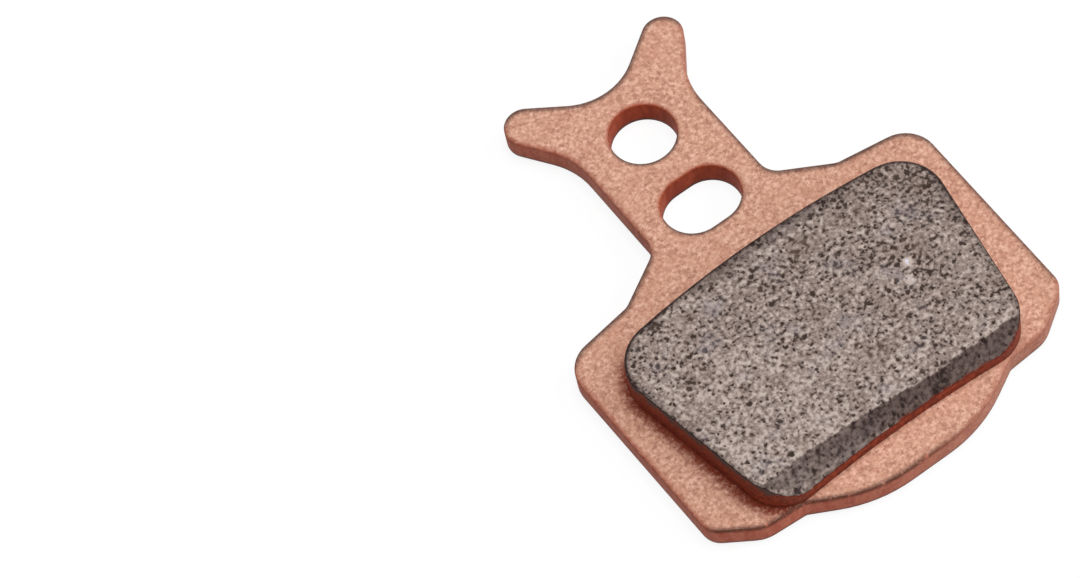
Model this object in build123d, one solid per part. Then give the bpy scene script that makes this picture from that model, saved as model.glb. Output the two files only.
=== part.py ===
from build123d import *
from math import radians, sqrt, tan
import os

# Disc brake pad: a blanked steel plate and the sintered friction block that is bonded to its front.
# Sizes are in millimetres. The origin is on the pin hole's axis, in the plate's back face. +Z points out
# of the friction face, +Y along the tail to the ears, and X across. The pad lies on its back.

# Plate: stock and edges
plate_thickness = 1.85
rolled_edge_radius = 0.3      # outline of the back face, rolled over by the blanking die
edge_break = 0.08             # small chamfer on the front face's edges

# Plate: tail with its pin hole, slot and ears
tail_width = 9.1
pin_hole_diameter = 4.5
pin_to_slot = 6.4
slot_diameter = 4.3           # the slot's width, and the diameter of its round ends
slot_travel = 1.2             # between the centres of the slot's round ends
ear_overhang = 1.05           # centre of the ear's tip, out from the tail's side
ear_rise = 5.45               # centre of the ear's tip, up from the pin hole
ear_tip_radius = 1.4
saddle_rise = 3.15            # where the ears' inner edges would meet, up from the pin hole
saddle_radius = 4.35
neck_rise = 1.4               # where each ear leaves the tail's side, up from the pin hole
neck_radius = 5.4

# Plate: body, in the order of its corners from the tail down to the foot
tail_base_drop = 7.5          # where the tail's side ends, down from the pin hole
tail_base_radius = 1.5
ramp_width = 3.85
ramp_drop = 2.3
ramp_radius = 1.25
body_width = 28.0             # across the shoulders
shoulder_fall = 0.85
shoulder_radius = 2.25
side_height = 15.2
side_taper = 0.2
side_corner_radius = 1.4
cut_width = 2.85              # the slanting cut across each lower corner
cut_height = 1.93
cut_radius = 2.5
foot_width = 2.95             # the flat of the foot on each side of the lobe
foot_fall = 0.2
notch_radius = 0.4
lobe_depth = 2.19
lobe_flat_share = 0.5         # of the lobe's width, between its two corners before they are rounded
lobe_radius = 10.0

# Friction block: its footprint on the plate and its height
block_height = 2.3
block_draft = 0.5             # degrees that its walls lean inwards
shoulder_margin = 1.52        # bare plate from the shoulder corners' level down to the block
side_margin = 1.55            # bare plate between the plate's side and the block's outer corners
foot_margin = 0.42            # bare plate between the block and the foot
side_angle = 9.7              # degrees by which each side closes in towards the foot
outer_crown = 1.1             # rise of the curved edge beside the tail
inner_hollow = 0.55           # rise of the curved edge beside the foot
outer_corner_radius = 3.1
inner_corner_radius = 2.8
bevel_width = 0.9             # ground bevel beside the foot, seen from the front, at the pad's middle
bevel_depth = 1.5             # how far down the wall it reaches
block_edge_radius = 0.12

# Holes through the plate that the friction block is pressed into
key_hole_diameter = 4.2
key_columns = 3
key_rows = 2
key_column_pitch = 8.1
key_row_pitch = 6.9
key_row_inset = 3.93          # from the block's outer edge to the first row
key_depth = 0.3
key_clearance = 0.03
pip_moat = 0.65               # open ring around each of the two pips beside the tail
pip_height = 0.9

# Levels and places that follow from the sizes above
block_top = plate_thickness + block_height
shoulder_level = -(tail_base_drop + ramp_drop + shoulder_fall)
foot_level = shoulder_level - side_height - cut_height - foot_fall
outer_edge = shoulder_level - shoulder_margin
inner_edge = foot_level + foot_margin
outer_corner = (body_width / 2 - side_margin, outer_edge - outer_crown)
inner_corner_level = inner_edge - inner_hollow
closing_in = (outer_corner[1] - inner_corner_level) * tan(radians(side_angle))
inner_corner = (outer_corner[0] - closing_in, inner_corner_level)
key_grid_middle = outer_edge - key_row_inset - key_row_pitch * (key_rows - 1) / 2


def round_corners(sketch, corners):
    """Round the sketch's corner nearest each (point, radius), on both sides of the middle line."""
    for (x, y), radius in corners:
        for side_x in {x, -x}:
            corner = sketch.vertices().sort_by_distance((side_x, y, 0))[0]
            sketch = fillet(corner, radius)
    return sketch


def plate_outline():
    """The blanked outline: tail, body and lobe from corner to corner, and two ears."""
    neck = (tail_width / 2, neck_rise)
    tail_base = (tail_width / 2, -tail_base_drop)
    ramp_foot = (tail_base[0] + ramp_width, -tail_base_drop - ramp_drop)
    shoulder = (body_width / 2, shoulder_level)
    side_foot = (shoulder[0] - side_taper, shoulder_level - side_height)
    cut_foot = (side_foot[0] - cut_width, side_foot[1] - cut_height)
    notch = (cut_foot[0] - foot_width, foot_level)
    lobe_corner = (notch[0] * lobe_flat_share, foot_level - lobe_depth)
    right = [neck, tail_base, ramp_foot, shoulder, side_foot, cut_foot, notch, lobe_corner]
    left = [(-x, y) for x, y in reversed(right)]
    outline = make_face(Polyline(*left, *right, close=True))

    saddle = (0, saddle_rise)
    ear_tip = Pos(-tail_width / 2 - ear_overhang, ear_rise) * Circle(ear_tip_radius)
    ear_root = Polyline(saddle, (-tail_width / 2, neck_rise), (0, neck_rise))
    left_ear = make_hull(ear_tip.edges() + ear_root.edges())
    outline += [left_ear, mirror(left_ear, about=Plane.YZ)]

    return round_corners(outline, [
        (saddle, saddle_radius),
        (neck, neck_radius),
        (tail_base, tail_base_radius),
        (ramp_foot, ramp_radius),
        (shoulder, shoulder_radius),
        (side_foot, side_corner_radius),
        (cut_foot, cut_radius),
        (notch, notch_radius),
        (lobe_corner, lobe_radius),
    ])


def key_places():
    """Centres of the keying holes on the plate's back face, row by row."""
    return Pos(0, key_grid_middle) * GridLocations(key_column_pitch, key_row_pitch, key_columns, key_rows)


def make_backing_plate():
    slot = Pos(0, -pin_to_slot) * SlotCenterToCenter(slot_travel, slot_diameter)
    blank = plate_outline() - Circle(pin_hole_diameter / 2) - slot
    plate = extrude(blank, plate_thickness)
    plate = chamfer(plate.faces().sort_by(Axis.Z)[-1].edges(), edge_break)
    key_holes = [place * Circle(key_hole_diameter / 2) for place in key_places()]
    plate -= extrude(Sketch() + key_holes, plate_thickness)
    return fillet(plate.faces().sort_by(Axis.Z)[0].outer_wire().edges(), rolled_edge_radius)


def block_footprint():
    """The block's outline where it meets the plate: a sector with a crowned and a hollow edge."""
    outer_left = (-outer_corner[0], outer_corner[1])
    inner_left = (-inner_corner[0], inner_corner[1])
    footprint = make_face([
        ThreePointArc(outer_corner, (0, outer_edge), outer_left),
        Line(outer_left, inner_left),
        ThreePointArc(inner_left, (0, inner_edge), inner_corner),
        Line(inner_corner, outer_corner),
    ])
    return round_corners(footprint, [
        (outer_corner, outer_corner_radius),
        (inner_corner, inner_corner_radius),
    ])


def bevel_cutter():
    """What the bevel takes off the block: straight across at the top, along the hollow edge below."""
    reach = body_width / 2
    hollow_radius = (inner_corner[0] ** 2 + inner_hollow ** 2) / (2 * inner_hollow)
    hollow_end = inner_edge - hollow_radius + sqrt(hollow_radius ** 2 - reach ** 2)
    low_side = ThreePointArc((-reach, hollow_end), (0, inner_edge), (reach, hollow_end))
    top_side = Line((-reach, inner_edge + bevel_width), (reach, inner_edge + bevel_width))
    past_foot = foot_level - lobe_depth
    sections = []
    for side, level in ((low_side, block_top - bevel_depth), (top_side, block_top)):
        outside = Polyline(side @ 0, (-reach, past_foot), (reach, past_foot), side @ 1)
        sections.append(Pos(0, 0, level) * make_face([side, outside]))
    return loft(sections, ruled=True)


def make_friction_pad():
    block = extrude(Pos(0, 0, plate_thickness) * block_footprint(), block_height, taper=block_draft)
    block -= bevel_cutter()
    block = fillet(block.faces().sort_by(Axis.Z)[-1].edges(), block_edge_radius)
    first_row = outer_edge - key_row_inset
    key_radius = key_hole_diameter / 2 - key_clearance
    pip_radius = key_hole_diameter / 2 - pip_moat
    for place in key_places():
        x, y = place.position.X, place.position.Y
        is_pip = abs(x) > key_column_pitch / 2 and y > first_row - key_row_pitch / 2
        radius, depth = (pip_radius, pip_height) if is_pip else (key_radius, key_depth)
        block += Pos(x, y, plate_thickness - depth) * extrude(Circle(radius), depth)
    return block


os.makedirs("parts", exist_ok=True)
export_step(make_backing_plate(), "parts/backing_plate.step")
export_step(make_friction_pad(), "parts/friction_pad.step")
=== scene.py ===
from math import ceil, cos, exp, radians, sin

import bmesh
import bpy
import numpy as np
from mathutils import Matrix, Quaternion, Vector, noise
from mathutils.bvhtree import BVHTree
from mathutils.geometry import delaunay_2d_cdt, intersect_point_line


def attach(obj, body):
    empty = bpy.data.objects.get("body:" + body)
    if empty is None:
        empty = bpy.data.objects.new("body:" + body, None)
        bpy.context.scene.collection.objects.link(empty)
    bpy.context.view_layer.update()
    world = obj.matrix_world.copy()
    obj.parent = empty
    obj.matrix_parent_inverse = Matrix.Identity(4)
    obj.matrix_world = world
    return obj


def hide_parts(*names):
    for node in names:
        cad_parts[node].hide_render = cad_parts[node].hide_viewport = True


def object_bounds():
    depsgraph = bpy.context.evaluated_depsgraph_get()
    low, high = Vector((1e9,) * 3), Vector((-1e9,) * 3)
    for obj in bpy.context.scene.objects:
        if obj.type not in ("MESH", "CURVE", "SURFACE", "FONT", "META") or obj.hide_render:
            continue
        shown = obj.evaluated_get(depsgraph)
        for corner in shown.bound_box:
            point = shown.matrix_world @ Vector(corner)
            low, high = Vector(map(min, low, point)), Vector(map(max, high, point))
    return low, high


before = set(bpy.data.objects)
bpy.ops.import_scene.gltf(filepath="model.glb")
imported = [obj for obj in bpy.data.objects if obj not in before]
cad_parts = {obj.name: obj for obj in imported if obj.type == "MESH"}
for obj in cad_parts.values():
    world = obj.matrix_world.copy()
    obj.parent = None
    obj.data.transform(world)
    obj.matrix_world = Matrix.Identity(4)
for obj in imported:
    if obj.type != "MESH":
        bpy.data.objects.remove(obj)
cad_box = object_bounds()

# A disc brake pad that lies on its back: the copper-plated plate keeps its solid, and the friction block
# gets a porous ground face on the walls of its own solid. X runs across the pad, and Y along it to the tail.
# Lengths written with MM are metres. Places, spans and radii on the pad written without it are millimetres,
# and waves are counted per millimetre.
MM = 0.001
BLOCK_TOP = cad_box[1][2]            # level of the ground friction face

# Camera: where it looks, how far away it stands and how it is turned
AIM = Vector((-11.92, -5.203, 1.85)) * MM
CAMERA_DISTANCE = 248.73 * MM
CAMERA_ELEVATION = radians(59.395)
CAMERA_HEADING = radians(22.822)     # from the tail's direction towards +X
CAMERA_ROLL = radians(14.439)
LENS = 130.0                         # millimetres, on a sensor 36 mm wide

# Light and ground: each softbox leans from overhead, in a direction counted from the tail's towards +X
LIGHT_DISTANCE = 1.10                # metres, and so are the sizes of the softboxes and the floor
OVERHEAD = dict(size=0.70, lean=radians(4), heading=radians(90), power=8.8)
FROM_RIGHT = dict(size=0.70, lean=radians(56), heading=radians(114), power=4.4)
FROM_FRONT = dict(size=0.70, lean=radians(75), heading=radians(188), power=3.0)
FILL = 0.11                          # the surroundings' light on the pad
FLOOR_SIZE = 3.0
FLOOR_GAP = 0.01 * MM
FLOOR_ALBEDO = 0.18                  # the share of light that it throws back onto the pad
FLOOR_SHADE = 0.15                   # the share of the white ground that the pad's shadow can take away
FLOOR_GLOW = 0.87                    # the share that it shows by itself

# Ground friction face: the mesh of its skin
SKIN_SPACING = 0.07 * MM             # between the points of the skin
WELD = 0.001 * MM                    # points of the solid's mesh that lie closer than this are joined
MERGE = 1e-6                         # points of the skin that lie closer than this count as one
GROUND_SLOPE = 0.3                   # faces that point up more than this belong to the ground skin
BEVEL_SLOPE = 0.95                   # faces of the skin that point up less than this belong to the bevel
PORE_DEPTH = 0.07 * MM               # how deep the deepest pores are
GRAIN_DEPTH = 0.012 * MM             # how much lower the darkest grains lie than the brightest
PIT_RISE = 3 * SKIN_SPACING          # how far inside the rim the pits come to their full depth
SHARP_ANGLE = radians(35)            # edges that turn more than this are shaded sharp
SKIN_SLOT = 1                        # the skin's place among the block's materials, after the sides'

# Ground friction face: tone of the sinter, from 0 in a pore to 1 on a bright grain
GRAIN_SEED = 3                       # fixes how the pores and the frayed edge stray, the same in each run
MEAN_TONE = 0.58
TONE_MIDDLE = -20                    # along the pad, where the tone is the mean one on the middle line
PAINTED_SHADE_FALL = (0.006, 0.008)           # painted shade: tone lost per millimetre to the right, and towards the tail
PATCHES = ((0.35, 0.14), (1.4, 0.18))       # waves and strength of paler and darker patches
PORE_SIZES = ((0.60, 0.22), (0.36, 0.13))   # spacing and largest radius of the pores
SMALLEST_PORE = 0.25                 # as a share of the largest radius
PORE_SHADE = 0.75                    # tone lost in the middle of a pore
PORE_TONE = 0.5                      # below this tone the face sinks into a pore
PORE_WOBBLE = 0.10                   # how far the pores' outlines stray
WOBBLE_WAVES = 4.0
LAYER_STEP = 7.3                     # keeps the pores of one size from lying on those of the other
CELL_STEP = 31.7                     # keeps a pore's size from following its place
KEY_TONE = 0.75                      # tone of the faces that point down, such as the keys' ends
KEY_TINGE = 0.25                     # share of the red plating there
CLUMPS = ((-8.4, -13.2), (-9.1, -17.9))     # clusters of dark pores
CLUMP_RADIUS = 0.5
CLUMP_SHADE = 0.4                    # tone lost in the middle of a cluster
GLINTING_FLECKS = ((6.6, -19.6), (5.9, -20.7))       # pale metal flecks, painted with a bright glint
FLECK_RADIUS = 0.26
FLECK_SHINE = 1.3                    # tone gained in the middle of a fleck: its painted glint
FLECK_PATCHES = (2.5, 0.9)           # waves and strength of the flecks' unevenness
CRACK = (Vector((9.25, -24.7)), Vector((10.5, -25.1)))   # ends of a hairline crack
CRACK_WIDTH = 0.055

# Ground friction face: wear along its rim, where 1 is dark and BLACK is black
BLACK = 1.6
RIM_DARK = 1.3                       # wear on the rim's own edge
RIM_LINE = 0.12 * MM                 # width of the black line along the edge beside the tail
RIM_LINE_END = 2.4                   # how many such widths away from the rim the line has faded out
RIM_LINE_SPAN = (-22.0, -17.0)       # along the pad, where that line begins and is at its full
RIM_WEAR = 0.30 * MM                 # the unit of how far the wear reaches into the face
RIM_STEADY = 1.1                     # the steady part of that reach
RIM_SLOW = (0.4, 1.6)                # waves and strength of its slow unevenness
RIM_QUICK = (2.0, 0.7)               # and of its quick unevenness
RIM_STRENGTH = 0.6
FAR_RIM_SPAN = (-15.5, -13.0)        # along the pad, from where to where the wear beside the tail grows
FAR_RIM_MIDDLE = 0.0                 # across the pad, where it has grown the most
FAR_RIM_HALF = 6.0                   # and how far to each side of that
FAR_RIM_GROWTH = 1.8                 # how much further it reaches there, as a share
FAR_RIM_CALM = 1.4                   # slow unevenness that it loses there
FAR_RIM_STRENGTH = 0.3               # strength that it gains there

# Ground bevel beside the foot: the pairs give a value on the left and one on the right
FRAY_WAVES = 2.2
BEVEL_FRAY = (0.15 * MM, 0.06 * MM)  # how far its upper edge strays
BEVEL_LEAD = (0.30 * MM, -0.13 * MM)   # how far its painted shade reaches over that edge
BEVEL_TURN = (-4.0, 3.0)             # across the pad, where those two turn from left to right
BEVEL_SHADE = (0.70, 1.00)            # painted shade along its upper edge
BEVEL_PALING = (0.40, 0.10)          # share of that painted shade that is lost a millimetre further down
BEVEL_FADE = (-10.0, 0.0)            # across the pad, where those two turn from left to right
SPILL = 0.06 * MM                    # how far the red plating reaches up the bevel, on average
SPILL_PATCHES = (1.6, 1.2)           # waves and strength of its unevenness
SPILL_START = 0.8 * MM               # how far below the top that plating starts

# Plating: where its colour changes over the plate
EDGE_SOFTNESS = 0.70 * MM            # how far from an edge its colour begins to turn
HOLE_EDGE_SOFTNESS = 0.50 * MM       # the same at the tail's two holes
HOLES_MIDDLE = -3.2                  # along the pad, between those holes
HOLES_REACH = (3.7, 5.8)             # a box that holds them reaches this far from there, across and along
STREAK_STRETCH = (2.0, 2.0, 0.6)     # makes the walls' streaks longer upwards than along the wall
LIT_WALLS_ACROSS = (-9.0, 9.0)            # across the pad, where painted light begins to make the walls paler, and has made them so
LIT_WALLS_SHARE = 0.5                     # share of the face's colour in the walls made palest by painted light
TAILWARD = (0.39, 0.92)              # direction across and along the pad; edges that face it get the darkest painted shade
FOOT_SHADE_ALONG = (-25.0, -26.2)         # along the pad, where the painted dark line along the foot's edges begins, and is at its full
FOOT_SHADE_ACROSS = (6.0, -2.0)           # the same, across the pad
CREVICE_REACH = 1.25 * MM            # how far the painted red shadow reaches from the crevice around the block
CREVICE_SHADOW_ACROSS = (-6.5, -9.5)        # across the pad, where that painted shadow begins and is at its full
METAL_SHARE = 0.12                   # how metallic the dull surfaces of plate and block are


def srgb(red, green, blue):
    """A colour as it looks on a screen, 0 to 255, turned into the linear values that shaders take."""
    shares = [value / 255 for value in (red, green, blue)]
    linear = [s / 12.92 if s <= 0.04045 else ((s + 0.055) / 1.055) ** 2.4 for s in shares]
    return (*linear, 1.0)


def grey(value):
    return (value, value, value, 1.0)


# Colours of the plating: its faces, its walls and its edges
FACE_DARK = srgb(166, 117, 97)
FACE_MIDDLE = srgb(202, 150, 128)
FACE_PALE = srgb(230, 185, 163)
FACE_REDDISH = srgb(200, 143, 119)
FACE_YELLOWISH = srgb(208, 160, 133)
FACE_PIT = srgb(130, 86, 68)
# painted red shadow in the crevice around the block
PAINTED_CREVICE_SHADOW = srgb(122, 46, 26)
WALL_DARK = srgb(188, 92, 68)
WALL_PALE = srgb(212, 120, 94)
WALL_GLINT = srgb(226, 158, 136)
# painted deep red shade on the walls of the tail's holes
SHADED_BORE_DARK = srgb(164, 64, 32)
SHADED_BORE_PALE = srgb(196, 86, 50)
# painted shade along the plate's edges: on all of them, on those facing the tail, on those turning down, and
# along the foot's edges
PAINTED_EDGE_SHADE = srgb(96, 52, 40)
PAINTED_FAR_EDGE_SHADE = srgb(62, 40, 38)
PAINTED_UNDER_EDGE_SHADE = srgb(84, 58, 54)
PAINTED_FOOT_EDGE_SHADE = srgb(70, 34, 20)

# Colours of the friction block: its plated sides and its ground skin
SIDE_DARK = srgb(106, 38, 20)
SIDE_PALE = srgb(154, 68, 44)
SIDE_WORN = srgb(82, 61, 57)
GRAIN_DARK = srgb(64, 51, 45)
GRAIN_MIDDLE = srgb(141, 125, 117)
GRAIN_PALE = srgb(186, 171, 162)
GRAIN_BLUISH = srgb(140, 132, 140)
GRAIN_BROWNISH = srgb(128, 109, 97)
# pale metal flecks painted with a bright glint
FLECK_GLINT_SILVER = srgb(208, 203, 216)
# dark colours for the rim's wear and for the bevel's painted shade
WEAR_AND_SHADE_DARK = srgb(44, 32, 30)
WEAR_AND_SHADE_PALE = srgb(99, 82, 77)
RIM_BLACK = srgb(44, 32, 28)
SPILL_RED = srgb(128, 46, 26)


class Shader:
    """A material's node tree, with short calls for the nodes that the materials here share."""

    def __init__(self, name):
        self.material = bpy.data.materials.new(name)
        self.material.use_nodes = True
        self.nodes = self.material.node_tree.nodes
        self.links = self.material.node_tree.links
        self.bsdf = self.nodes["Principled BSDF"]

    def node(self, kind, inputs=(), **settings):
        made = self.nodes.new("ShaderNode" + kind)
        for key, value in settings.items():
            setattr(made, key, value)
        for key, value in dict(inputs).items():
            self.put(value, made.inputs[key])
        return made

    def put(self, value, socket):
        """Link another node's output to a socket, or set the socket to a plain value."""
        if isinstance(value, bpy.types.NodeSocket):
            self.links.new(value, socket)
        else:
            socket.default_value = value

    def math(self, operation, first, second=0.0):
        return self.node("Math", {0: first, 1: second}, operation=operation).outputs[0]

    def plus(self, first, second):
        return self.math("ADD", first, second)

    def minus(self, first, second):
        return self.math("SUBTRACT", first, second)

    def times(self, first, second):
        return self.math("MULTIPLY", first, second)

    def ramp(self, value, start, end):
        """0 up to the start, 1 from the end on, and smooth between; either may be the larger."""
        made = self.node("MapRange", {"Value": value, "From Min": start, "From Max": end},
                         interpolation_type="SMOOTHSTEP")
        return made.outputs["Result"]

    def mix(self, factor, first, second):
        """A colour between two others; the node has its sockets for colours after those for other values."""
        made = self.node("Mix", data_type="RGBA")
        for index, value in ((0, factor), (6, first), (7, second)):
            self.put(value, made.inputs[index])
        return made.outputs[2]

    def millimetres(self, stretch=(1, 1, 1)):
        """The place on the part in millimetres, or in a stretched measure of them."""
        place = self.node("TexCoord").outputs["Object"]
        made = self.node("Mapping", {"Vector": place, "Scale": [s / MM for s in stretch]})
        return made.outputs["Vector"]

    def noise(self, place, waves, detail=2.0, roughness=0.5):
        made = self.node("TexNoise", {"Vector": place, "Scale": waves, "Detail": detail,
                                      "Roughness": roughness})
        return made.outputs["Fac"]

    def split(self, vector):
        return self.node("SeparateXYZ", {0: vector}).outputs

    def attribute(self, name):
        return self.node("Attribute", attribute_name=name).outputs["Fac"]

    def openness(self, reach):
        """1 on open surfaces, falling to about a half in the corner of a crevice."""
        return self.node("AmbientOcclusion", {"Distance": reach}, samples=8).outputs["AO"]

    def softened_normal(self, radius):
        """The surface's direction, blended over the edges within a radius."""
        return self.node("Bevel", {"Radius": radius}, samples=6).outputs["Normal"]

    def surface(self, colour, roughness, specular):
        """Give the surface a colour, a roughness and the sheen of dull metal."""
        self.put(colour, self.bsdf.inputs["Base Color"])
        self.put(roughness, self.bsdf.inputs["Roughness"])
        self.bsdf.inputs["Metallic"].default_value = METAL_SHARE
        self.bsdf.inputs["Specular IOR Level"].default_value = specular

    def bump(self, height, depth, strength, normal=None):
        made = self.node("Bump", {"Height": height, "Distance": depth, "Strength": strength})
        if normal:
            self.put(normal, made.inputs["Normal"])
        self.put(made.outputs["Normal"], self.bsdf.inputs["Normal"])


def plating_face(shader, place, fine, mottle):
    """Colour of the flat faces: pale, speckled and patchy, with small dark pits."""
    face = shader.mix(shader.ramp(fine, 0.36, 0.50), FACE_DARK, FACE_MIDDLE)
    face = shader.mix(shader.ramp(fine, 0.50, 0.64), face, FACE_PALE)
    reddish = shader.times(shader.ramp(mottle, 0.40, 0.70), 0.4)
    face = shader.mix(reddish, face, FACE_REDDISH)
    tint = shader.noise(place, waves=2.2, detail=2.0, roughness=0.6)
    yellowish = shader.times(shader.ramp(tint, 0.45, 0.62), 0.35)
    face = shader.mix(yellowish, face, FACE_YELLOWISH)
    specks = shader.node("TexVoronoi", {"Vector": place, "Scale": 3.2}).outputs["Distance"]
    pits = shader.times(shader.ramp(specks, 0.26, 0.08), 0.4)
    return shader.mix(pits, face, FACE_PIT)


def painted_crevice_shadow(shader, place, across):
    """Share of the painted red shadow in the crevice around the block, on the left of the pad."""
    shut = shader.minus(1.0, shader.openness(CREVICE_REACH))
    spread = shader.ramp(shader.noise(place, waves=3.6, detail=3.0, roughness=0.7), 0.30, 0.70)
    shadow_share = shader.times(shut, shader.plus(0.55, shader.times(spread, 1.1)))
    shadow_share = shader.times(shadow_share, shader.ramp(across, *CREVICE_SHADOW_ACROSS))
    return shader.ramp(shadow_share, 0.03, 0.40)


def around_holes(shader, across, along):
    """1 in a box that holds the tail's two holes, 0 outside it."""
    off_line = shader.math("ABSOLUTE", across)
    off_middle = shader.math("ABSOLUTE", shader.minus(along, HOLES_MIDDLE))
    return shader.times(shader.math("LESS_THAN", off_line, HOLES_REACH[0]),
                        shader.math("LESS_THAN", off_middle, HOLES_REACH[1]))


def plating_wall(shader, fine, across, in_holes, bare_face):
    """Colour of the walls: redder than the face, paler to the right with painted light, and painted deep red
    shade in the tail's holes.
    """
    streak_noise = shader.noise(shader.millimetres(STREAK_STRETCH), waves=0.9, detail=3.0, roughness=0.6)
    streaks = shader.ramp(streak_noise, 0.30, 0.70)
    wall = shader.mix(streaks, WALL_DARK, WALL_PALE)
    glints = shader.times(shader.ramp(fine, 0.48, 0.66), 0.35)
    wall = shader.mix(glints, wall, WALL_GLINT)
    # painted light from the right makes the walls paler there
    painted_right_light = shader.times(shader.ramp(across, *LIT_WALLS_ACROSS), LIT_WALLS_SHARE)
    wall = shader.mix(painted_right_light, wall, bare_face)
    # painted deep red shade in the tail's holes
    shaded_bore = shader.mix(streaks, SHADED_BORE_DARK, SHADED_BORE_PALE)
    return shader.mix(in_holes, wall, shaded_bore)


def copper_plating(name):
    """Matte plating: a pale speckled face, darker red walls, and painted shade: deep red in the holes, dark
    along the ragged edges and red in the crevice around the block.
    """
    shader = Shader(name)
    place = shader.millimetres()
    across, along, _ = shader.split(place)
    fine = shader.noise(place, waves=4.0, detail=3.0, roughness=0.65)
    mottle = shader.noise(place, waves=0.8, detail=3.0, roughness=0.55)
    in_holes = around_holes(shader, across, along)

    bare_face = plating_face(shader, place, fine, mottle)
    # painted red shadow in the crevice around the block
    face = shader.mix(painted_crevice_shadow(shader, place, across), bare_face, PAINTED_CREVICE_SHADOW)
    wall = plating_wall(shader, fine, across, in_holes, bare_face)

    # flatness is 1 on the faces and 0 on the walls, and passes through all values over an edge
    tighter = shader.times(in_holes, EDGE_SOFTNESS - HOLE_EDGE_SOFTNESS)
    normal = shader.softened_normal(shader.minus(EDGE_SOFTNESS, tighter))
    normal_x, normal_y, normal_z = shader.split(normal)
    flatness = shader.math("ABSOLUTE", normal_z)
    ragged = shader.plus(flatness, shader.times(shader.minus(mottle, 0.5), 0.15))
    # painted shade along the edges, between the face and the wall
    shaded = shader.times(shader.ramp(ragged, 0.15, 0.50), 0.30)
    edge = shader.mix(shaded, wall, PAINTED_EDGE_SHADE)
    colour = shader.mix(shader.ramp(ragged, 0.85, 0.99), edge, face)

    # painted shade on the edges that face the tail, away from the camera
    facing = shader.plus(shader.times(normal_x, TAILWARD[0]), shader.times(normal_y, TAILWARD[1]))
    far_edge_shade = shader.times(shader.ramp(facing, 0.04, 0.26), shader.ramp(flatness, 0.15, 0.45))
    colour = shader.mix(far_edge_shade, colour, PAINTED_FAR_EDGE_SHADE)
    # painted shade on the edges that turn down under the plate
    under_edge_shade = shader.times(shader.ramp(normal_z, -0.03, -0.36), shader.ramp(flatness, 0.99, 0.85))
    colour = shader.mix(under_edge_shade, colour, PAINTED_UNDER_EDGE_SHADE)
    # painted dark shade line along the foot's edges
    at_foot = shader.times(shader.ramp(along, *FOOT_SHADE_ALONG), shader.ramp(across, *FOOT_SHADE_ACROSS))
    foot_edge_shade = shader.times(at_foot, shader.ramp(shader.noise(place, waves=2.2), 0.30, 0.46))
    on_edge = shader.times(shader.ramp(flatness, 0.20, 0.45), shader.ramp(flatness, 0.99, 0.92))
    colour = shader.mix(shader.times(foot_edge_shade, on_edge), colour, PAINTED_FOOT_EDGE_SHADE)

    shader.surface(colour, roughness=shader.plus(0.48, shader.times(fine, 0.30)), specular=0.2)
    shader.bump(fine, depth=0.03 * MM, strength=0.6, normal=normal)
    return shader.material


def plated_sinter(name):
    """The block's sides: deep red plating over grains, wearing to dark grey below the ground face."""
    shader = Shader(name)
    place = shader.millimetres()
    grains = shader.noise(place, waves=3.2, detail=4.0, roughness=0.65)
    clumps = shader.noise(place, waves=1.3, detail=3.0, roughness=0.6)
    below = shader.minus(BLOCK_TOP / MM, shader.split(place)[2])
    ragged = shader.plus(below, shader.times(shader.minus(clumps, 0.5), 3.2))

    side = shader.mix(shader.ramp(grains, 0.36, 0.64), SIDE_DARK, SIDE_PALE)
    colour = shader.mix(shader.ramp(ragged, 0.15, 0.85), SIDE_WORN, side)
    shader.surface(colour, roughness=shader.plus(0.45, shader.times(grains, 0.35)), specular=0.2)
    shader.bump(grains, depth=0.06 * MM, strength=0.7)
    return shader.material


def sintered_metal(name):
    """Ground sinter: tan-grey grains, dark pores, a dark worn rim and a bevel darkened with painted shade.
    """
    shader = Shader(name)
    place = shader.millimetres()
    wear_and_shade = shader.attribute("wear_and_shade")
    grains = shader.noise(place, waves=3.4, detail=1.0, roughness=0.5)
    fine = shader.noise(place, waves=9.0, detail=2.0, roughness=0.6)
    cool = shader.noise(place, waves=0.45, detail=2.0, roughness=0.5)
    coarse_speckle = shader.times(shader.minus(grains, 0.5), 1.70)
    fine_speckle = shader.times(shader.minus(fine, 0.5), 0.6)
    tone = shader.plus(shader.attribute("tone"), shader.plus(coarse_speckle, fine_speckle))

    grain = shader.mix(shader.ramp(tone, 0.18, 0.52), GRAIN_DARK, GRAIN_MIDDLE)
    grain = shader.mix(shader.ramp(tone, 0.52, 0.95), grain, GRAIN_PALE)
    bluish = shader.times(shader.ramp(cool, 0.54, 0.75), 0.3)
    grain = shader.mix(bluish, grain, GRAIN_BLUISH)
    brownish = shader.times(shader.ramp(cool, 0.48, 0.30), 0.35)
    grain = shader.mix(brownish, grain, GRAIN_BROWNISH)
    # painted glint of the pale flecks
    grain = shader.mix(shader.ramp(tone, 1.25, 1.55), grain, FLECK_GLINT_SILVER)
    # the dark colours carry the rim's wear and the bevel's painted shade
    dark = shader.mix(shader.ramp(tone, 0.15, 0.95), WEAR_AND_SHADE_DARK, WEAR_AND_SHADE_PALE)
    colour = shader.mix(shader.math("MINIMUM", wear_and_shade, 1.0), grain, dark)
    colour = shader.mix(shader.ramp(wear_and_shade, 1.0, BLACK), colour, RIM_BLACK)
    colour = shader.mix(shader.attribute("plated"), colour, SPILL_RED)
    shader.surface(colour, roughness=shader.minus(0.80, shader.times(tone, 0.30)), specular=0.15)
    shader.bump(fine, depth=0.03 * MM, strength=0.5)
    return shader.material


def bell(distance):
    """1 at no distance, falling smoothly to almost nothing at a distance of 2."""
    return exp(-distance ** 2)


def share_between(value, span):
    """0 at the start of a span and before it, 1 at its end and after it."""
    start, end = span
    return min(max((value - start) / (end - start), 0.0), 1.0)


def part_way(pair, share):
    """The value that lies a share of the way from the first of a pair to the second."""
    first, second = pair
    return first + (second - first) * share


def crack(spot):
    """1 on the hairline crack, 0 away from it."""
    nearest, share = intersect_point_line(spot, *CRACK)
    along = 0.0 <= share <= 1.0
    return bell((spot - nearest.xy).length / CRACK_WIDTH) if along else 0.0


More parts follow.
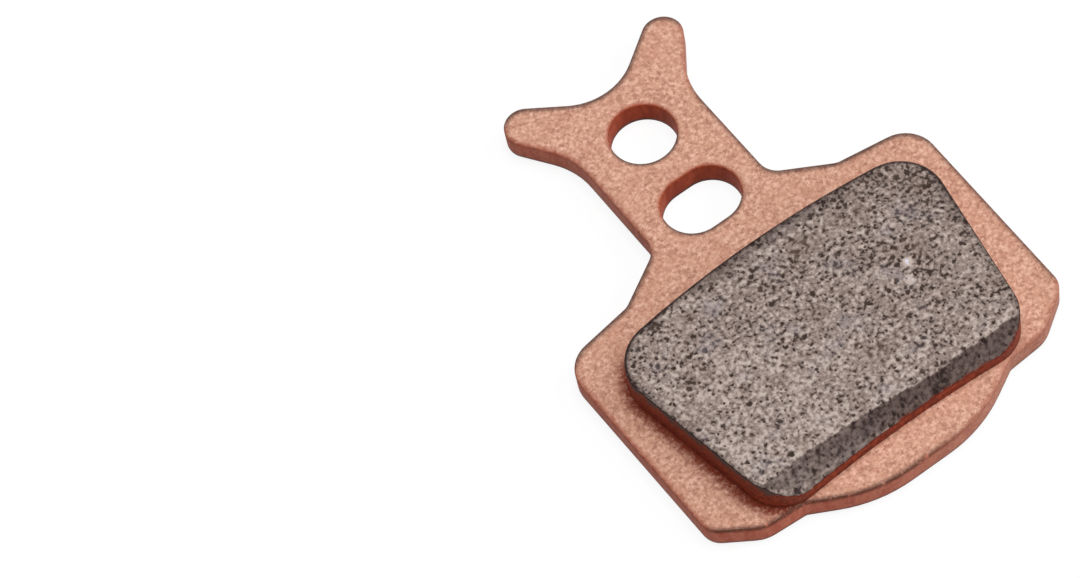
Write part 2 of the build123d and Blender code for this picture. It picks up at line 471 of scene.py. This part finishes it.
def sinter_tone(x, y):
    """Tone of the sinter at a point of the face: 0 in a pore, 1 on a bright grain and more in a fleck's
    painted glint.
    """
    spot = Vector((x, y, 0)) / MM
    wobble = noise.noise_vector(spot * WOBBLE_WAVES) * PORE_WOBBLE
    # painted shade: darker to the right and towards the tail
    tone = MEAN_TONE - PAINTED_SHADE_FALL[0] * spot.x - PAINTED_SHADE_FALL[1] * (spot.y - TONE_MIDDLE)
    tone += sum(strength * noise.noise(spot * waves) for waves, strength in PATCHES)
    for layer, (spacing, largest) in enumerate(PORE_SIZES):
        distances, centres = noise.voronoi((spot + wobble) / spacing + Vector((0, 0, LAYER_STEP * layer)))
        # each pore has a size of its own, from 0 to 1
        size = 0.5 + 0.5 * noise.cell(centres[0] * CELL_STEP)
        radius = largest * (SMALLEST_PORE + (1 - SMALLEST_PORE) * size)
        hollow = 1.0 - min(distances[0] * spacing / radius, 1.0) ** 2
        tone -= PORE_SHADE * hollow
    for clump in CLUMPS:
        tone -= CLUMP_SHADE * bell((spot.xy - Vector(clump)).length / CLUMP_RADIUS)
    tone -= crack(spot.xy + wobble.xy)
    tone = min(max(tone, 0.0), 1.0)
    waves, strength = FLECK_PATCHES
    for fleck in GLINTING_FLECKS:
        shine = FLECK_SHINE + strength * noise.noise(spot * waves)
        tone += bell((spot.xy - Vector(fleck)).length / FLECK_RADIUS) * shine
    return tone


def pit_depth(tone):
    """How far the face lies below its level where it has a tone."""
    pore = PORE_DEPTH * max(PORE_TONE - tone, 0) / PORE_TONE
    return pore + GRAIN_DEPTH * max(1 - tone, 0)


def rim_line(y, margin):
    """The black line around the far edge of the ground face: 1 and more on it, 0 away from it."""
    return share_between(y / MM, RIM_LINE_SPAN) * min(max(RIM_LINE_END - margin / RIM_LINE, 0.0), BLACK)


def rim_wear(x, y, place, margin):
    """How worn the ground face is near its rim: the most at the middle of the edge beside the tail."""
    far = share_between(y / MM, FAR_RIM_SPAN) * bell((x / MM - FAR_RIM_MIDDLE) / FAR_RIM_HALF)
    slow = noise.noise(place * RIM_SLOW[0] / MM)
    quick = noise.noise(place * RIM_QUICK[0] / MM)
    uneven = RIM_STEADY + (RIM_SLOW[1] - FAR_RIM_CALM * far) * slow + RIM_QUICK[1] * quick
    reach = RIM_WEAR * uneven * (1.0 + FAR_RIM_GROWTH * far)
    wear_and_shade = (RIM_STRENGTH + FAR_RIM_STRENGTH * far) * bell(margin / max(reach, SKIN_SPACING))
    return max(wear_and_shade, rim_line(y, margin))


def look_down(solid, x, y):
    """Where a line straight down meets a solid, and the direction of its surface there."""
    place, normal, _, _ = solid.ray_cast(Vector((x, y, BLOCK_TOP + MM)), Vector((0, 0, -1)))
    return place, normal


def on_shaded_bevel(solid, x, y, place):
    """Whether a point of the skin lies within the bevel's painted shade, which has a frayed upper edge."""
    turned = share_between(x / MM, BEVEL_TURN)
    stray = noise.noise_vector(place * FRAY_WAVES / MM) * part_way(BEVEL_FRAY, turned)
    lead = part_way(BEVEL_LEAD, turned)
    _, slope = look_down(solid, x + stray.x, y + stray.y - lead)
    return slope is not None and slope.z < BEVEL_SLOPE


def bevel_shade(x, depth):
    """How dark the bevel's painted shade is: darkest along its upper edge, fading to bright at its left-hand
    end.
    """
    right = share_between(x / MM, BEVEL_FADE)
    lost = part_way(BEVEL_PALING, right) * min(depth / MM, 1.0)
    return part_way(BEVEL_SHADE, right) * (1.0 - lost)


def bevel_spill(place, margin):
    """Share of the red plating that reaches up onto the bevel from its lower edge."""
    waves, strength = SPILL_PATCHES
    spill = SPILL * (1.0 + strength * noise.noise(place * waves / MM))
    return bell(margin / max(spill, WELD))


def ordered_rim(edges):
    """The vertices of a closed loop of edges, in order."""
    following = {}
    for edge in edges:
        for vert in edge.verts:
            following.setdefault(vert, []).append(edge.other_vert(vert))
    first = edges[0].verts[0]
    loop = [first]
    last = None
    while True:
        here = loop[-1]
        ahead = [vert for vert in following[here] if vert is not last][0]
        if ahead is first:
            return loop
        last = here
        loop.append(ahead)


def take_off_ground_face(bm):
    """Delete the faces that point up, and return the finely divided rim that they leave, in order."""
    ground = {face for face in bm.faces if face.normal.z > GROUND_SLOPE}
    rim = [edge for edge in bm.edges if sum(face in ground for face in edge.link_faces) == 1]
    bmesh.ops.delete(bm, geom=list(ground), context="FACES")
    for edge in rim:
        cuts = ceil(edge.calc_length() / SKIN_SPACING) - 1
        if cuts > 0:
            bmesh.ops.subdivide_edges(bm, edges=[edge], cuts=cuts)
    return ordered_rim([edge for edge in bm.edges if edge.is_boundary])


def points_inside(outline, spacing):
    """A triangular grid of points that lie well inside an outline, and how far from it each one is."""
    low, high = outline.min(0), outline.max(0)
    rows = np.arange(low[1], high[1], spacing * sin(radians(60)))
    columns = np.arange(low[0], high[0], spacing)
    x, y = np.meshgrid(columns, rows)
    x = x + spacing / 2 * (np.arange(len(rows)) % 2)[:, None]
    points = np.column_stack([x.ravel(), y.ravel()])
    inside = np.zeros(len(points), bool)
    clear = np.full(len(points), np.inf)
    for start, end in zip(outline, np.roll(outline, -1, 0)):
        # a point is inside if the outline crosses the line to its right an odd number of times
        rises = (start[1] > points[:, 1]) != (end[1] > points[:, 1])
        run = end - start
        with np.errstate(divide="ignore", invalid="ignore"):
            crossing = start[0] + (points[:, 1] - start[1]) / run[1] * run[0]
        inside ^= rises & (points[:, 0] < crossing)
        share = np.clip((points - start) @ run / (run @ run), 0, 1)
        clear = np.minimum(clear, np.linalg.norm(points - start - share[:, None] * run, axis=1))
    keep = inside & (clear > spacing / 2)
    return points[keep], clear[keep]


def fill_skin(bm, skin_verts, rim_size):
    """Triangles between the points of the skin, inside the loop of rim points that come first among them."""
    loop_edges = [(i, (i + 1) % rim_size) for i in range(rim_size)]
    flat = [Vector(vert.co.xy) / MM for vert in skin_verts]
    inside_only = 1
    _, _, triangles, sources, _, _ = delaunay_2d_cdt(flat, loop_edges, [], inside_only, MERGE)
    for triangle in triangles:
        face = bm.faces.new([skin_verts[sources[i][0]] for i in triangle])
        face.material_index = SKIN_SLOT


def friction_block(node):
    """The friction pad's own walls and keys, with its ground face made again as a fine porous skin."""
    noise.seed_set(GRAIN_SEED)
    bm = bmesh.new()
    bm.from_mesh(node.data)
    tone_layer = bm.verts.layers.float.new("tone")
    wear_and_shade_layer = bm.verts.layers.float.new("wear_and_shade")
    plated_layer = bm.verts.layers.float.new("plated")
    bmesh.ops.remove_doubles(bm, verts=bm.verts, dist=WELD)
    bm.normal_update()
    solid = BVHTree.FromBMesh(bm)

    rim_verts = take_off_ground_face(bm)
    for vert in rim_verts:
        vert[plated_layer] = float(BLOCK_TOP - vert.co.z > SPILL_START)
        vert[wear_and_shade_layer] = RIM_DARK
    for face in bm.faces:
        if face.normal.z < -GROUND_SLOPE:
            face.material_index = SKIN_SLOT
            for vert in face.verts:
                vert[tone_layer] = KEY_TONE
                vert[plated_layer] = KEY_TINGE

    outline = np.array([vert.co.xy for vert in rim_verts])
    skin_verts = list(rim_verts)
    for (x, y), margin in zip(*points_inside(outline, SKIN_SPACING)):
        place, _ = look_down(solid, x, y)
        depth = BLOCK_TOP - place.z
        tone = sinter_tone(x, y)
        vert = bm.verts.new((x, y, place.z - pit_depth(tone) * min(margin / PIT_RISE, 1)))
        vert[tone_layer] = tone
        # on the bevel the attribute holds painted shade, elsewhere the rim's wear
        if on_shaded_bevel(solid, x, y, place):
            vert[wear_and_shade_layer] = bevel_shade(x, depth)
            vert[plated_layer] = bevel_spill(place, margin) if depth > SPILL_START else 0.0
        else:
            vert[wear_and_shade_layer] = rim_wear(x, y, place, margin)
        skin_verts.append(vert)
    fill_skin(bm, skin_verts, len(rim_verts))

    bmesh.ops.recalc_face_normals(bm, faces=bm.faces)
    mesh = bpy.data.meshes.new("friction_block")
    bm.to_mesh(mesh)
    bm.free()
    for polygon in mesh.polygons:
        polygon.use_smooth = True
    mesh.set_sharp_from_angle(angle=SHARP_ANGLE)
    block = bpy.data.objects.new("friction_block", mesh)
    bpy.context.scene.collection.objects.link(block)
    return block


def add_camera():
    data = bpy.data.cameras.new("camera")
    data.lens = LENS
    camera = bpy.data.objects.new("camera", data)
    bpy.context.scene.collection.objects.link(camera)
    looks = Vector((cos(CAMERA_ELEVATION) * sin(CAMERA_HEADING),
                    cos(CAMERA_ELEVATION) * cos(CAMERA_HEADING),
                    -sin(CAMERA_ELEVATION)))
    camera.location = AIM - looks * CAMERA_DISTANCE
    camera.rotation_mode = "QUATERNION"
    roll = Quaternion((0, 0, 1), -CAMERA_ROLL)
    camera.rotation_quaternion = looks.to_track_quat("-Z", "Y") @ roll
    bpy.context.scene.camera = camera


def seen_directly(nodes, links):
    """1 for rays from the camera or from a reflection, 0 for the rays that carry light around."""
    path = nodes.new("ShaderNodeLightPath")
    either = path.outputs["Is Camera Ray"]
    for ray in ("Is Glossy Ray", "Is Transmission Ray"):
        join = nodes.new("ShaderNodeMath")
        join.operation = "MAXIMUM"
        links.new(either, join.inputs[0])
        links.new(path.outputs[ray], join.inputs[1])
        either = join.outputs[0]
    return either


def add_floor():
    """A ground that looks white wherever it is seen, apart from the pad's shadow."""
    shader = Shader("white_ground")
    seen = seen_directly(shader.nodes, shader.links)
    colour = shader.mix(seen, grey(FLOOR_ALBEDO), grey(FLOOR_SHADE))
    shader.put(colour, shader.bsdf.inputs["Base Color"])
    shader.bsdf.inputs["Roughness"].default_value = 1.0
    shader.bsdf.inputs["Specular IOR Level"].default_value = 0.0
    shader.bsdf.inputs["Emission Color"].default_value = grey(1.0)
    shader.put(shader.times(seen, FLOOR_GLOW), shader.bsdf.inputs["Emission Strength"])
    mesh = bpy.data.meshes.new("floor")
    half = FLOOR_SIZE / 2
    corners = [(-half, -half, 0), (half, -half, 0), (half, half, 0), (-half, half, 0)]
    mesh.from_pydata(corners, [], [(0, 1, 2, 3)])
    mesh.materials.append(shader.material)
    floor = bpy.data.objects.new("floor", mesh)
    floor.location.z = cad_box[0][2] - FLOOR_GAP
    bpy.context.scene.collection.objects.link(floor)


def add_softbox(name, size, lean, heading, power):
    data = bpy.data.lights.new(name, "AREA")
    data.size = size
    data.energy = power
    softbox = bpy.data.objects.new(name, data)
    away = Vector((sin(lean) * sin(heading), sin(lean) * cos(heading), cos(lean)))
    softbox.location = away * LIGHT_DISTANCE
    softbox.rotation_mode = "QUATERNION"
    softbox.rotation_quaternion = (-away).to_track_quat("-Z", "Y")
    bpy.context.scene.collection.objects.link(softbox)


def add_light():
    """A surround that looks white and lights the pad only faintly, and three softboxes."""
    world = bpy.data.worlds.new("studio")
    world.use_nodes = True
    nodes, links = world.node_tree.nodes, world.node_tree.links
    background = nodes["Background"]
    background.inputs["Color"].default_value = grey(1.0)
    strength = nodes.new("ShaderNodeMapRange")
    strength.inputs["To Min"].default_value = FILL
    links.new(seen_directly(nodes, links), strength.inputs["Value"])
    links.new(strength.outputs["Result"], background.inputs["Strength"])
    bpy.context.scene.world = world

    add_softbox("overhead", **OVERHEAD)
    add_softbox("from_right", **FROM_RIGHT)
    add_softbox("from_front", **FROM_FRONT)


plating = copper_plating("copper_plating")
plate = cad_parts["backing_plate"]
plate.data.materials[0] = plating

block = friction_block(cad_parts["friction_pad"])
block.data.materials.append(plated_sinter("plated_sinter"))
block.data.materials.append(sintered_metal("ground_sinter"))
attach(block, "root")
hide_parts("friction_pad")

add_camera()
add_floor()
add_light()
bpy.context.scene.view_settings.view_transform = "Standard"
